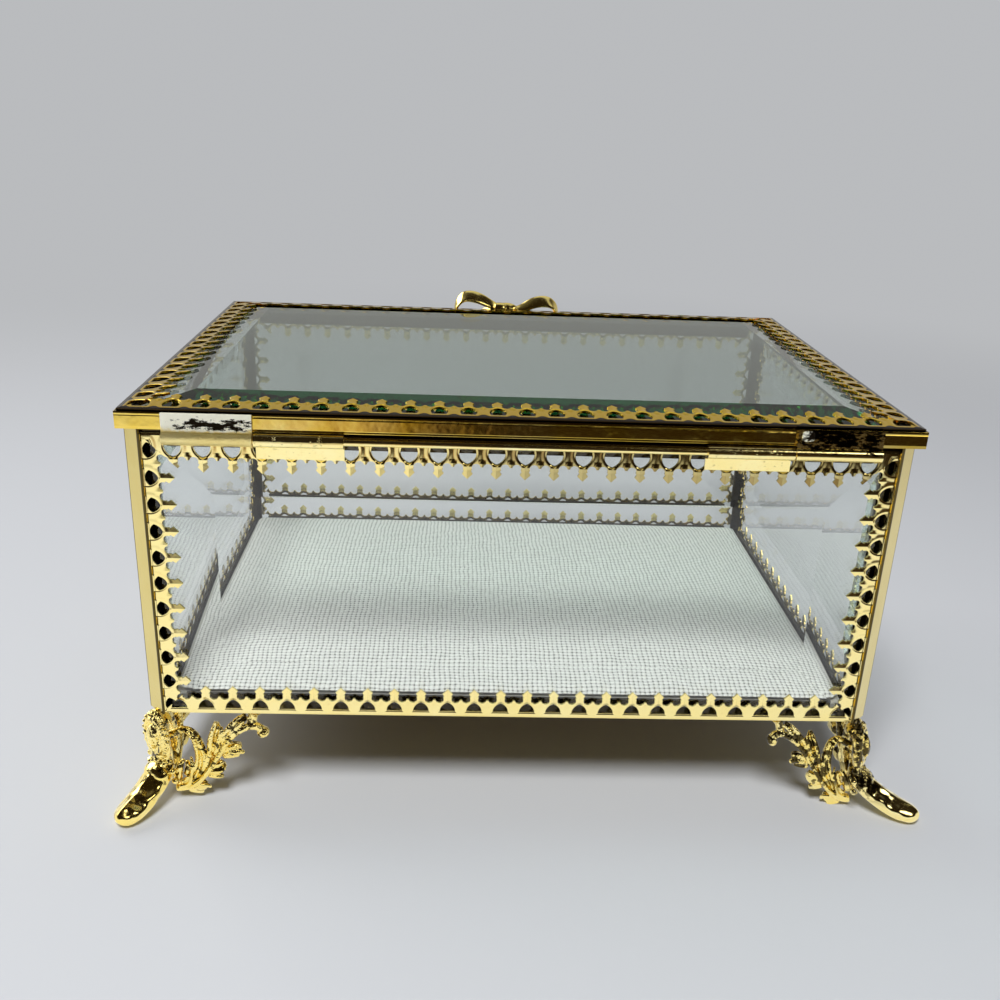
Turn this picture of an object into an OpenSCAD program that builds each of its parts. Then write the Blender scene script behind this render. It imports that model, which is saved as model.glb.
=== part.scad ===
// Jewellery casket: bevelled glass panes in a brass frame edged with pierced gallery strip,
// standing on four cast feet, with a hinged glass lid and a bow for a thumb piece.
// The origin is the middle of the footprint on the table, +Z is up, the front with the bow
// faces -Y and the hinge is along the rear, +Y. Sizes are in millimetres.

/* [Case] */
// Width over the side walls
case_w = 130; // [100:1:180]
// Depth over the front and rear walls
case_d = 90; // [70:1:130]
// Height of the walls, from the bottom rails to the top rails
case_h = 53.5; // [42:0.5:80]
// Cut across each corner, where the corner strips are soldered
corner_cut = 2; // [1.6:0.1:2.6]

/* [Frame] */
// Thickness of the rail under each pane
rail_t = 0.6; // [0.5:0.1:1]
// Thickness of the rail over each pane
top_rail_t = 1.4; // [1.2:0.1:2]
// Thickness of the flange behind each pane
flange_t = 0.5; // [0.4:0.05:0.8]
// Height of the flange behind each pane
flange_h = 2.4; // [1.5:0.1:3]
// Width of the ledge that carries the base plate
ledge_w = 2; // [1:0.1:4]
// Width of the flat corner strips
post_w = 4.2; // [3.2:0.1:5]
// Thickness of the flat corner strips
post_t = 0.4; // [0.3:0.1:1]

/* [Glass] */
// Thickness of the glass
glass_t = 2.7; // [2.4:0.1:4]
// Width of the bevel round each pane
bevel_w = 10; // [6:0.5:14]
// Depth of the bevel at the pane's edge
bevel_drop = 1; // [0.8:0.05:1.2]
// Clearance round the edge of a pane
glass_gap = 0.1; // [0.05:0.01:0.15]

/* [Gallery strip] */
// Thickness of the stamped strip
strip_t = 0.4; // [0.3:0.05:0.5]
// Distance from one prong to the next
strip_pitch = 4.8; // [4.4:0.05:5.6]
// Plain band along the soldered edge
strip_band = 1.2; // [0.8:0.1:1.6]
// Width of each pierced heart
heart_w = 2.8; // [2.4:0.1:3.2]
// Height of each pierced heart
heart_h = 2.9; // [2.4:0.1:3]
// Reach of the prongs from the soldered edge
prong_reach = 6.7; // [6.3:0.1:7.2]
// Width of a prong's arrow head
prong_w = 1.8; // [1.4:0.1:2]

/* [Lid] */
// Overhang of the lid past the walls
lid_overhang = 1.1; // [0.8:0.1:1.4]
// Width of the lip that carries the lid's glass
lid_lip_w = 3.2; // [2:0.1:4]
// Gap between the closed lid and the case
lid_gap = 0.1; // [0.05:0.05:0.2]

/* [Hinge] */
// Outer radius of the hinge barrels
barrel_r = 1.15; // [1:0.05:1.3]
// Radius of the hinge pin
pin_r = 0.6; // [0.4:0.05:0.7]
// Running clearance round the pin in the lid's barrels
pin_gap = 0.05; // [0.02:0.01:0.08]
// Length of each barrel
barrel_l = 14.5; // [8:0.5:17]
// Distance from the case's side to the middle of each hinge
hinge_inset = 20.8; // [19:0.1:30]
// Gap between the barrels of a hinge
barrel_gap = 0.2; // [0.1:0.05:0.4]
// Thickness of the hinge leaves
leaf_t = 0.5; // [0.4:0.05:0.6]
// Distance that the case leaves reach down from the pin
case_leaf_h = 3.4; // [2.6:0.1:4.4]
// Distance that the lid leaves reach up from the pin
lid_leaf_h = 4.2; // [2.6:0.1:4.4]

/* [Inside] */
// Thickness of the base plate
base_t = 0.8; // [0.6:0.1:2]
// Thickness of the card under the cushion
card_t = 0.8; // [0.5:0.1:2]
// Height of the cushion over its card
cushion_h = 4.6; // [4:0.2:12]
// Slope of the cushion's upper edges
cushion_r = 2; // [1.5:0.1:3]
// Clearance between the cushion and the frame
cushion_gap = 0.4; // [0.3:0.1:2]

/* [Feet] */
// Height of the feet
foot_h = 19; // [17:0.5:26]
// Thickness of the cast scrollwork
scroll_t = 1.8; // [1.2:0.1:2.4]
// Half width of the shield at each corner
shield_w = 3; // [2.2:0.1:3.4]
// Reach of the toes past the corner, along the diagonal
toe_reach = 11; // [8:0.5:14]
// Half width of the toes
toe_w = 2.7; // [2:0.1:3.2]

/* [Bow] */
// Distance from the knot to the end of each loop
bow_half_w = 12.3; // [9:0.1:16]
// Height of the loops, square to the ribbon
bow_loop_h = 3.4; // [2.6:0.1:5]
// Thickness of the ribbon
ribbon_t = 0.9; // [0.7:0.1:1.4]
// Width of the ribbon, across its flat
ribbon_w = 3.2; // [2:0.1:4]
// Width of the band tied round the knot
knot_w = 2.8; // [2:0.1:4]
// Angle that the ribbon's flat is turned down towards the lid's glass
bow_lean = 38; // [20:1:50]

/* [Hidden] */
$fn = 48;

// each wall: name, turn about Z, length along the wall, distance across to the opposite wall
SIDES = [
  ["front", 0, case_w, case_d],
  ["right", 90, case_d, case_w],
  ["rear", 180, case_w, case_d],
  ["left", -90, case_d, case_w],
];
// each corner: name, direction in X, direction in Y
CORNERS = [
  ["front_left", -1, -1],
  ["front_right", 1, -1],
  ["rear_right", 1, 1],
  ["rear_left", -1, 1],
];
// each hinge: name, direction in X
HINGES = [["left", -1], ["right", 1]];

// The gallery strip: where its scallops, nubs and hearts sit, from the soldered edge
nub_w = 0.4;
nub_reach = 4.6;
scallop_r = 0.75;
scallop_x = strip_pitch / 2 - nub_w / 2 - scallop_r;
scallop_reach = nub_reach + 0.15;
stem_w = 1.1;
heart_shoulder = 1;
strip_gap = 0.05;

// How each strip is trimmed and placed in its frame
top_strip_drop = 0.8;
bottom_strip_trim = 1.25;
bottom_strip_band = 1;
side_strip_trim = 1.3;
side_strip_band = 0.6;
side_heart_r = 1.6;
side_flange_h = 0.8;
side_row_drop = 3.8;
lid_strip_inset = 0.4;

// The panes' edges, from the case's corners, bottom and top
web_run = flange_t * sqrt(2);
pane_bottom = rail_t + glass_gap;
pane_top = case_h - top_rail_t - glass_gap;

// The bevels rise to the prongs' tips: the panes lie as far out as the strip allows
function bevel_depth(d) = bevel_drop * max(0, 1 - d / bevel_w);
top_prong_on_glass = top_strip_drop + prong_reach - top_rail_t - glass_gap;
glass_front = strip_t + strip_gap - bevel_depth(top_prong_on_glass);
glass_back = glass_front + glass_t;
flange_y = glass_back + glass_gap / 2;
wall_t = flange_y + flange_t;
pane_inset = flange_y + web_run + glass_gap;

// The lid's rim is as high as its pane needs
lid_w = case_w + 2 * lid_overhang;
lid_d = case_d + 2 * lid_overhang;
lid_z = case_h + lid_gap;
lid_web_t = 0.6;
lid_lip_t = 0.45;
lid_top_lip_t = 0.4;
lid_top_lip_w = 1.6;
lid_pane_inset = lid_web_t + glass_gap;
lid_glass_z = lid_lip_t + glass_gap / 2;
lid_prong_on_glass = lid_strip_inset + prong_reach - lid_pane_inset;
lid_rim_h = lid_glass_z + glass_t - bevel_depth(lid_prong_on_glass) + strip_gap;
lid_h = lid_rim_h + strip_t;

// The hinge pin's axis runs along X behind the walls
hinge_gap = 0.1;
hinge_x = case_w / 2 - hinge_inset;
pin_y = case_d / 2 + hinge_gap + barrel_r;
pin_z = case_h - 0.1 - barrel_r;
pin_l = 2 * (hinge_x + barrel_l);

// What lies on the bottom ledge
plate_gap = 0.1;
inner_w = case_w - 2 * wall_t;
inner_d = case_d - 2 * wall_t;
card_z = rail_t + base_t;
cushion_z = card_z + card_t;

// The feet's scrollwork: each strand's places, inwards from the corner and down from the
// rail, with its half width there
scroll_inset = 0.3;
leaflet_t = scroll_t - 0.5;
knee_drop = 14.2;
shield_t = 2.6;
curl_r = 1.2;
rib = [
  [0.8, 16.2, 1.1], [3.6, 16.6, 1], [6.8, 15.3, 0.8], [8.6, 13.4, 0.75], [10.1, 10.9, 0.7],
  [11.5, 8.6, 0.7], [12.9, 6.4, 0.7], [14.4, 4.5, 0.75], [16.2, 3.2, 0.8], [17.9, 2.8, 0.85],
  [19.1, 3.2, 0.85], [19.7, 4.3, 0.9],
];
ring = [
  [0.6, 6.8, 1], [2, 5.4, 0.8], [3.6, 4.5, 0.75], [5.2, 4, 0.7], [6.5, 4.4, 0.75],
  [7.4, 5.9, 0.9], [8.1, 8, 1.1], [8.4, 10.2, 1.3], [7.9, 12.6, 1.4], [6.6, 14.6, 1.2],
];
joint = [[17.8, 3, 0.8], [17.8, 0, 1.1]];
outer_leaflets = [
  [[11.4, 9.8, 0.5], [12.6, 8.9, 1.2], [14.4, 8.6, 1.3], [15.6, 8.9, 0.5]],
  [[8.8, 13.4, 0.6], [10, 13, 1.4], [11.2, 12.9, 1.6], [11.9, 13, 0.9]],
  [[4.8, 16.9, 0.7], [6.6, 16.8, 1.1], [8, 16.8, 1], [9, 17, 0.3]],
];
inner_leaflets = [
  [[9.8, 10.4, 0.8], [10.4, 7.4, 1.2], [10.9, 4.8, 1], [11.2, 2.2, 0.3]],
  [[12.6, 6.6, 0.7], [13.8, 4, 1.1], [15.1, 2.2, 0.9], [16.5, 0.7, 0.3]],
  [[7.6, 14, 0.9], [9.2, 11.4, 1.1], [9.6, 8.8, 0.9], [9.8, 7, 0.3]],
  [[3.6, 14.6, 1], [4.3, 12.2, 1], [4.8, 10.6, 0.6], [5.2, 9.8, 0.25]],
  [[5.8, 14.6, 0.7], [6.4, 12, 0.7], [6.4, 9.8, 0.2]],
];

// The bow stands on the lid's front edge: its loops rise steeply at their outer ends, and
// its tails lie down the rim
bow_rise = 1.1;
loop_start = 1.2;
loop_skew = 1.4;
loop_steps = 14;
knot_proud = 0.5;
tail_angle = 28;
tail_l = 6.2;
tail_w = 2.4;
tail_t = 0.7;

// ---- placing ----

// A wall: X along it, Y inwards from its outer face, Z up from the case's bottom
module on_wall(s) {
  rotate([0, 0, s[1]]) translate([0, -s[3] / 2, foot_h]) children();
}

// A lid bar: X along it, Y inwards from the lid's edge, Z up from the lid's underside
module on_lid(s) {
  rotate([0, 0, s[1]]) translate([0, -s[3] / 2 - lid_overhang, foot_h + lid_z]) children();
}

// A corner, drawn for +X +Y with the walls' sharp corner at the origin and Z up from the table
module on_corner(c) {
  translate([c[1] * case_w / 2, c[2] * case_d / 2, 0])
    mirror([c[1] < 0 ? 1 : 0, 0, 0]) mirror([0, c[2] < 0 ? 1 : 0, 0]) children();
}

// A shape drawn in a wall's plane, X along and Y up, t thick from depth y inwards
module in_wall(y, t) {
  translate([0, y + t, 0]) rotate([90, 0, 0]) linear_extrude(t) children();
}

// A shape drawn on the plane through the corners at 45 degrees, X across and Y up
module across_corner(out, t) {
  rotate([0, 0, 45]) translate([out, 0, 0]) rotate([90, 0, 90]) linear_extrude(t) children();
}

// ---- frame ----

// Plan of a bar of length l between depths y0 and y1: mitred, with the corner cut off
module bar_plan(l, y0, y1, cut) {
  intersection() {
    polygon([[-l / 2, 0], [l / 2, 0], [l / 2 - y1, y1], [y1 - l / 2, y1]]);
    polygon([[cut - l / 2, 0], [l / 2 - cut, 0], [l / 2 - cut + y1, y1], [cut - y1 - l / 2, y1]]);
    translate([-l / 2, y0]) square([l, y1 - y0]);
  }
}

module bottom_rail(s) {
  l = s[2];
  flange_l = l - 2 * (pane_inset + flange_h);
  color("goldenrod") on_wall(s) {
    linear_extrude(rail_t) bar_plan(l, strip_t, wall_t + ledge_w, corner_cut);
    translate([-flange_l / 2, flange_y, 0]) cube([flange_l, flange_t, rail_t + flange_h]);
  }
}

module top_rail(s) {
  l = s[2];
  flange_l = l - 2 * (pane_inset + flange_h);
  color("goldenrod") on_wall(s) {
    translate([0, 0, case_h - top_rail_t])
      linear_extrude(top_rail_t) bar_plan(l, strip_t, wall_t, corner_cut);
    translate([-flange_l / 2, flange_y, case_h - top_rail_t - flange_h])
      cube([flange_l, flange_t, top_rail_t + flange_h]);
  }
}

// Section of the upright at a wall's end: a land for the strip, a slanting web along the
// mitre and a flange behind the pane
module stile_section(l) {
  h = l / 2;
  land_y = strip_t + flange_t;
  land_x = h - corner_cut - side_strip_band;
  polygon([
    [land_x, strip_t],
    [h - corner_cut + strip_t, strip_t],
    [h - corner_cut / 2, corner_cut / 2],
    [h - wall_t, wall_t],
    [h - pane_inset - side_flange_h, wall_t],
    [h - pane_inset - side_flange_h, flange_y],
    [h - web_run - flange_y, flange_y],
    [h - web_run - land_y, land_y],
    [land_x, land_y],
  ]);
}

module stiles(s) {
  color("goldenrod") on_wall(s) translate([0, 0, rail_t])
    linear_extrude(case_h - rail_t - top_rail_t)
      for (m = [0, 1]) mirror([m, 0]) stile_section(s[2]);
}

module corner_strip(c) {
  color("gold") on_corner(c) translate([0, 0, foot_h])
    rotate([0, 0, 45]) translate([-corner_cut / sqrt(2), -post_w / 2, 0])
      cube([post_t, post_w, case_h]);
}

// ---- glass ----

// Cross-section of a pane w wide: X across, Y up to the bevelled face
module pane_section(w) {
  polygon([
    [-w / 2, 0], [w / 2, 0], [w / 2, glass_t - bevel_drop], [w / 2 - bevel_w, glass_t],
    [bevel_w - w / 2, glass_t], [-w / 2, glass_t - bevel_drop],
  ]);
}

// A pane w by h lying on XY with its bevelled face up
module pane(w, h) {
  intersection() {
    rotate([90, 0, 0]) linear_extrude(h, center = true) pane_section(w);
    rotate([90, 0, 90]) linear_extrude(w, center = true) pane_section(h);
  }
}

module glass(s) {
  color("azure", 0.35) on_wall(s) translate([0, glass_back, (pane_bottom + pane_top) / 2])
    rotate([90, 0, 0]) pane(s[2] - 2 * pane_inset, pane_top - pane_bottom);
}

module lid_glass() {
  color("azure", 0.35) translate([0, 0, foot_h + lid_z + lid_glass_z])
    pane(lid_w - 2 * lid_pane_inset, lid_d - 2 * lid_pane_inset);
}

// ---- gallery strip ----

// A heart between its flat side at y = flat and its point, widest at y = mid. With an
// end_r, its flat side is rounded.
module heart(flat, mid, end_r = 0) {
  half = heart_w / 2;
  arch = heart_h - heart_shoulder;
  off = (arch * arch - half * half) / heart_w;
  intersection() {
    translate([off, mid]) circle(r = half + off);
    translate([-off, mid]) circle(r = half + off);
    if (end_r > 0) translate([0, flat + end_r]) circle(r = end_r);
    else translate([-half, flat]) square([heart_w, heart_h]);
  }
}

// One repeat of the strip's upper edge, from x - strip_pitch / 2: a nub, a prong and a nub
function prong_points(x) = let (neck = stem_w / 2, shoulder_y = prong_reach - prong_w / 2) [
  [x - scallop_x, nub_reach], [x - neck, shoulder_y - neck], [x - prong_w / 2, shoulder_y],
  [x, prong_reach],
  [x + prong_w / 2, shoulder_y], [x + neck, shoulder_y - neck], [x + scallop_x, nub_reach],
];

// A length l of strip with its soldered edge on X and its prongs up, mitred at both ends.
// trim is cut off the soldered edge, band is what stays solid there, and row is where the
// heart nearest to the middle sits along the strip.
module strip(l, trim = 0, band = strip_band, row = 0, end_r = 0) {
  n = ceil(l / strip_pitch / 2) + 1;
  end = (n + 1) * strip_pitch;
  mitre = prong_reach + 1;
  intersection() {
    translate([0, -trim]) difference() {
      polygon(concat(
        [[-end, 0], [-end, nub_reach]],
        [for (i = [-n : n], p = prong_points(row + i * strip_pitch)) p],
        [[end, nub_reach], [end, 0]]
      ));
      for (i = [-n : n]) translate([row + i * strip_pitch, 0]) {
        heart(band + trim, strip_band + heart_shoulder, end_r);
        for (m = [-1, 1]) translate([m * scallop_x, scallop_reach]) circle(r = scallop_r);
      }
    }
    polygon([[-l / 2, 0], [l / 2, 0], [l / 2 - mitre, mitre], [mitre - l / 2, mitre]]);
  }
}

module gallery_top(s) {
  color("gold") on_wall(s) in_wall(0, strip_t) translate([0, case_h - top_strip_drop])
    mirror([0, 1]) strip(s[2] - 2 * corner_cut);
}

module gallery_bottom(s) {
  color("gold") on_wall(s) in_wall(0, strip_t)
    strip(s[2] - 2 * corner_cut, bottom_strip_trim, bottom_strip_band, strip_pitch / 2);
}

module gallery_sides(s) {
  h = case_h - top_strip_drop;
  row = (h / 2 - (case_h - side_row_drop)) % strip_pitch;
  color("gold") on_wall(s) in_wall(0, strip_t)
    for (m = [0, 1]) mirror([m, 0]) translate([corner_cut - s[2] / 2, h / 2])
      rotate(-90) strip(h, side_strip_trim, side_strip_band, row, side_heart_r);
}

// ---- lid ----

module lid_rail_section() {
  polygon([
    [0, 0], [lid_lip_w, 0], [lid_lip_w, lid_lip_t], [lid_web_t, lid_lip_t],
    [lid_web_t, lid_rim_h - lid_top_lip_t], [lid_top_lip_w, lid_rim_h - lid_top_lip_t],
    [lid_top_lip_w, lid_rim_h], [0, lid_rim_h],
  ]);
}

module lid_rail(s) {
  l = s[2] + 2 * lid_overhang;
  color("goldenrod") on_lid(s) intersection() {
    translate([-l / 2, 0, 0]) rotate([90, 0, 90]) linear_extrude(l) lid_rail_section();
    linear_extrude(lid_rim_h) bar_plan(l, 0, lid_lip_w, 0);
  }
}

module lid_gallery(s) {
  color("gold") on_lid(s) translate([0, lid_strip_inset, lid_rim_h]) linear_extrude(strip_t)
    strip(s[2] + 2 * (lid_overhang - lid_strip_inset));
}

// An arch of the bow, rx by ry, with its steeper side out
function arch_points(rx, ry) = [
  for (i = [0 : loop_steps]) let (a = 180 * i / loop_steps)
    [(loop_start + bow_half_w) / 2 + rx * cos(a) + loop_skew * pow(sin(a), 2), ry * sin(a)]
];

function backwards(points) = [for (i = [len(points) - 1 : -1 : 0]) points[i]];

module bow_loop() {
  rx = (bow_half_w - loop_start) / 2;
  polygon(concat(
    arch_points(rx, bow_loop_h),
    backwards(arch_points(rx - ribbon_t * 0.7, bow_loop_h - ribbon_t))
  ));
}

// The space that the closed lid fills, which the bow is soldered against
module lid_block() {
  translate([-lid_w / 2, -lid_d / 2, foot_h + lid_z]) cube([lid_w, lid_d, lid_h]);
}

module thumb_bow() {
  color("gold") difference() {
    translate([0, -lid_d / 2, foot_h + lid_z + lid_h + bow_rise]) {
      rotate([90 - bow_lean, 0, 0]) translate([0, 0, -ribbon_w / 2]) {
        linear_extrude(ribbon_w) for (m = [0, 1]) mirror([m, 0]) bow_loop();
        translate([0, 0, -knot_proud]) linear_extrude(ribbon_w + 2 * knot_proud)
          translate([-knot_w / 2, -ribbon_t]) square([knot_w, 2 * ribbon_t]);
      }
      rotate([90, 0, 0]) for (m = [0, 1]) mirror([m, 0]) rotate(tail_angle - 90)
        linear_extrude(tail_t) translate([0, -tail_w / 2]) square([tail_l, tail_w]);
    }
    lid_block();
  }
}

// ---- hinge ----

// A barrel along X from x0, on the pin's axis
module barrel(x0) {
  translate([x0, pin_y, foot_h + pin_z]) rotate([0, 90, 0]) cylinder(r = barrel_r, h = barrel_l);
}

module pin_bore(r) {
  translate([-pin_l, pin_y, foot_h + pin_z]) rotate([0, 90, 0]) cylinder(r = r, h = 2 * pin_l);
}

// The leaf soldered on the rear wall, with the inner barrel
module hinge_case_leaf(h) {
  x0 = hinge_x - barrel_l;
  color("khaki") mirror([h[1] < 0 ? 1 : 0, 0, 0]) difference() {
    union() {
      barrel(x0);
      translate([x0, case_d / 2, foot_h + pin_z - case_leaf_h])
        cube([barrel_l - barrel_gap, leaf_t, case_leaf_h]);
    }
    pin_bore(pin_r);
    translate([hinge_x - barrel_gap / 2, 0, 0]) cube([barrel_l, case_d, 2 * foot_h + case_h]);
  }
}

// The leaf soldered on the lid's rear rail, with the outer barrel
module hinge_lid_leaf(h) {
  color("khaki") mirror([h[1] < 0 ? 1 : 0, 0, 0]) difference() {
    union() {
      barrel(hinge_x);
      translate([hinge_x, lid_d / 2, foot_h + pin_z]) cube([barrel_l, leaf_t, lid_leaf_h]);
    }
    pin_bore(pin_r + pin_gap);
    translate([hinge_x - barrel_l + barrel_gap / 2, 0, 0])
      cube([barrel_l, case_d, 2 * foot_h + case_h]);
  }
}

module hinge_pin() {
  color("gold") translate([-pin_l / 2, pin_y, foot_h + pin_z])
    rotate([0, 90, 0]) cylinder(r = pin_r, h = pin_l);
}

// ---- inside ----

module base_plate() {
  color("darkgoldenrod") translate([plate_gap - inner_w / 2, plate_gap - inner_d / 2, foot_h + rail_t])
    cube([inner_w - 2 * plate_gap, inner_d - 2 * plate_gap, base_t]);
}

module cushion_card() {
  color("dimgray") translate([cushion_gap - inner_w / 2, cushion_gap - inner_d / 2, foot_h + card_z])
    cube([inner_w - 2 * cushion_gap, inner_d - 2 * cushion_gap, card_t]);
}

module cushion() {
  w = inner_w - 2 * cushion_gap;
  d = inner_d - 2 * cushion_gap;
  color("ivory") translate([0, 0, foot_h + cushion_z]) hull() {
    translate([-w / 2, -d / 2, 0]) cube([w, d, cushion_h - cushion_r]);
    translate([cushion_r - w / 2, cushion_r - d / 2, 0])
      cube([w - 2 * cushion_r, d - 2 * cushion_r, cushion_h]);
  }
}

// ---- feet ----

// A strand through places [x, y, half width]
module strand(path) {
  last = len(path) - 1;
  function turn(i) = let (d = path[min(last, i + 1)] - path[max(0, i - 1)]) atan2(d[1], d[0]);
  function side(i, m) = [path[i][0] - m * path[i][2] * sin(turn(i)), path[i][1] + m * path[i][2] * cos(turn(i))];
  polygon(concat(
    [for (i = [0 : last]) side(i, 1)],
    [for (i = [last : -1 : 0]) side(i, -1)]
  ));
}

// The main stalk: the ring by the shield, the long rib and the ball under the rail
module stalk() {
  strand(ring);
  strand(rib);
  strand(joint);
  translate([rib[len(rib) - 1][0], rib[len(rib) - 1][1]]) circle(r = curl_r);
}

// Acanthus leaflets on both sides of the rib
module leaflets() {
  for (path = concat(outer_leaflets, inner_leaflets)) strand(path);
}

module wing() {
  translate([0, -scroll_inset, foot_h]) rotate([90, 0, 0]) mirror([1, 0, 0]) {
    linear_extrude(scroll_t) mirror([0, 1]) stalk();
    translate([0, 0, (scroll_t - leaflet_t) / 2])
      linear_extrude(leaflet_t) mirror([0, 1]) leaflets();
  }
}

// The shield under the corner strip, drawn with Y down from the rail
module shield() {
  bottom = knee_drop - 1;
  polygon([
    [-shield_w, 0], [shield_w, 0], [shield_w, 6.5], [shield_w - 0.8, bottom],
    [0.8 - shield_w, bottom], [-shield_w, 6.5],
  ]);
}

// An oval boss standing on the plane through the corners
module cabochon(h, w) {
  r = (h * h + w * w) / w / 4;
  rotate_extrude() intersection() {
    translate([w / 2 - r, 0]) circle(r);
    translate([0, -h / 2]) square([w, h]);
  }
}

module rosette() {
  sphere(r = 0.9);
  for (a = [0 : 72 : 359]) rotate([0, a, 0]) translate([0, 0, 1.3]) sphere(r = 0.75);
}

// A point of the toe: distance out along the diagonal, height, half length, half width, half height
module toe_knuckle(out, z, l, w, h) {
  translate([out, 0, z]) scale([l, w, h]) sphere(r = 1, $fn = 20);
}

module toe() {
  knuckles = [
    [-1.2, 5, 2.2, toe_w - 0.2, 2.4],
    [3, 3.6, 2.4, toe_w, 2.2],
    [7.4, 1.8, 2.4, toe_w, 1.9],
    [toe_reach - 2.2, 1.5, 2.2, toe_w - 0.3, 1.6],
  ];
  rotate([0, 0, 45]) intersection() {
    for (i = [0 : 2]) hull() for (k = [knuckles[i], knuckles[i + 1]])
      toe_knuckle(k[0], k[1], k[2], k[3], k[4]);
    translate([-foot_h, -foot_h, 0]) cube(2 * foot_h);
  }
}

module foot(c) {
  color("gold") on_corner(c) {
    wing();
    mirror([1, -1, 0]) wing();
    across_corner(-shield_t, shield_t) translate([0, foot_h]) mirror([0, 1]) shield();
    rotate([0, 0, 45]) translate([0, 0, foot_h - 4.4]) cabochon(5.2, 2.6);
    for (m = [0, 1]) mirror([m, -m, 0]) translate([-1.4, 0.4, foot_h - knee_drop]) rosette();
    toe();
  }
}

// ---- pieces ----

base_plate();
cushion_card();
cushion();
hinge_pin();
lid_glass();
thumb_bow();
for (s = SIDES) {
  bottom_rail(s);
  top_rail(s);
  stiles(s);
  glass(s);
  gallery_bottom(s);
  gallery_top(s);
  gallery_sides(s);
  lid_rail(s);
  lid_gallery(s);
}
for (c = CORNERS) {
  corner_strip(c);
  foot(c);
}
for (h = HINGES) {
  hinge_case_leaf(h);
  hinge_lid_leaf(h);
}
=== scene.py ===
import math

import bmesh
import bpy
from mathutils import Matrix, Vector


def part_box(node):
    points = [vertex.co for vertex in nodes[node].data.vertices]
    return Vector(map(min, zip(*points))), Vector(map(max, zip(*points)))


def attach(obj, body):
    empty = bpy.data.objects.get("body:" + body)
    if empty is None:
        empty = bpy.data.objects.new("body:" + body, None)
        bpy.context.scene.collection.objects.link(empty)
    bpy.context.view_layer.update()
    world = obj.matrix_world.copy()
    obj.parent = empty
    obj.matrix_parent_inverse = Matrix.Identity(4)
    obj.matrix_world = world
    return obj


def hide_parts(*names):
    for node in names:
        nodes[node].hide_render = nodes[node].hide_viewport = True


mm = 0.001

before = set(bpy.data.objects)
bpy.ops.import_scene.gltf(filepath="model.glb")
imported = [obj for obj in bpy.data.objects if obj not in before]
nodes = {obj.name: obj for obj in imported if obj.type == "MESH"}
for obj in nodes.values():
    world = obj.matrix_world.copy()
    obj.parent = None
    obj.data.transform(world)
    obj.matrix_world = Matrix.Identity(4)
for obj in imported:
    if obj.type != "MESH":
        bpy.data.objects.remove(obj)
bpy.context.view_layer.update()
bpy.ops.object.select_all(action="DESELECT")


def sizeOf(node):
    # a solid's lower and upper corner (mm)
    return [[round(reach / mm, 3) for reach in corner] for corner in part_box(node)]


# The case, walls only
case = {
    "halfLong": sizeOf("gallery_top_right")[1][0],  # from the middle to the face of an end wall (mm)
    "halfDeep": sizeOf("gallery_top_rear")[1][1],
}
sides = ("front", "right", "rear", "left")
ends = ("right", "left")

cameraView = {
    "place": (11.79 * mm, 205.96 * mm, 124.31 * mm),
    "yaw": -2.77,  # degrees from straight along -Y
    "pitch": 21.32,  # degrees downwards
    "roll": 2.33,
    "focal": 1034,  # pixels
    "frame": 1000,  # pixels from side to side
    "sensor": 36,
    "near": 0.005,
}


def makeCamera():
    yaw, pitch, roll = (math.radians(cameraView[k]) for k in ("yaw", "pitch", "roll"))
    level = Vector((math.sin(yaw), -math.cos(yaw), 0))
    right = Vector((-math.cos(yaw), -math.sin(yaw), 0))
    up = Vector((0, 0, 1))
    ahead = level * math.cos(pitch) - up * math.sin(pitch)
    above = up * math.cos(pitch) + level * math.sin(pitch)
    turnedRight = right * math.cos(roll) + above * math.sin(roll)
    turnedUp = above * math.cos(roll) - right * math.sin(roll)
    camera = bpy.data.objects.new("camera", bpy.data.cameras.new("camera"))
    bpy.context.scene.collection.objects.link(camera)
    axes = Matrix((turnedRight, turnedUp, -ahead)).transposed()
    camera.matrix_world = Matrix.Translation(cameraView["place"]) @ axes.to_4x4()
    camera.data.sensor_width = cameraView["sensor"]
    camera.data.lens = cameraView["focal"] / cameraView["frame"] * cameraView["sensor"]
    camera.data.clip_start = cameraView["near"]
    bpy.context.scene.camera = camera


lamps = {
    # place (m), size (m), power (W), colour
    "window": ((0.55, -0.35, 0.50), (0.50, 0.50), 2.4, (1.0, 0.99, 0.97)),
    "sky": ((-0.10, -0.35, 0.85), (0.60, 0.60), 0.6, (0.95, 0.97, 1.0)),
    "room": ((0.12, 0.46, 0.76), (0.28, 0.24), 8.0, (0.98, 0.99, 1.0)),
}
lampAim = (0, 0, 0.04)


def makeLamps():
    for name, (place, size, power, colour) in lamps.items():
        data = bpy.data.lights.new(name, "AREA")
        data.shape = "RECTANGLE"
        data.size, data.size_y = size
        data.energy = power
        data.color = colour
        lamp = bpy.data.objects.new(name, data)
        bpy.context.scene.collection.objects.link(lamp)
        lamp.location = place
        aim = Vector(lampAim) - Vector(place)
        lamp.rotation_euler = aim.to_track_quat("-Z", "Y").to_euler()
        # the lamp over the front would show as a hard square in the brass
        lamp.visible_glossy = name != "room"


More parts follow.
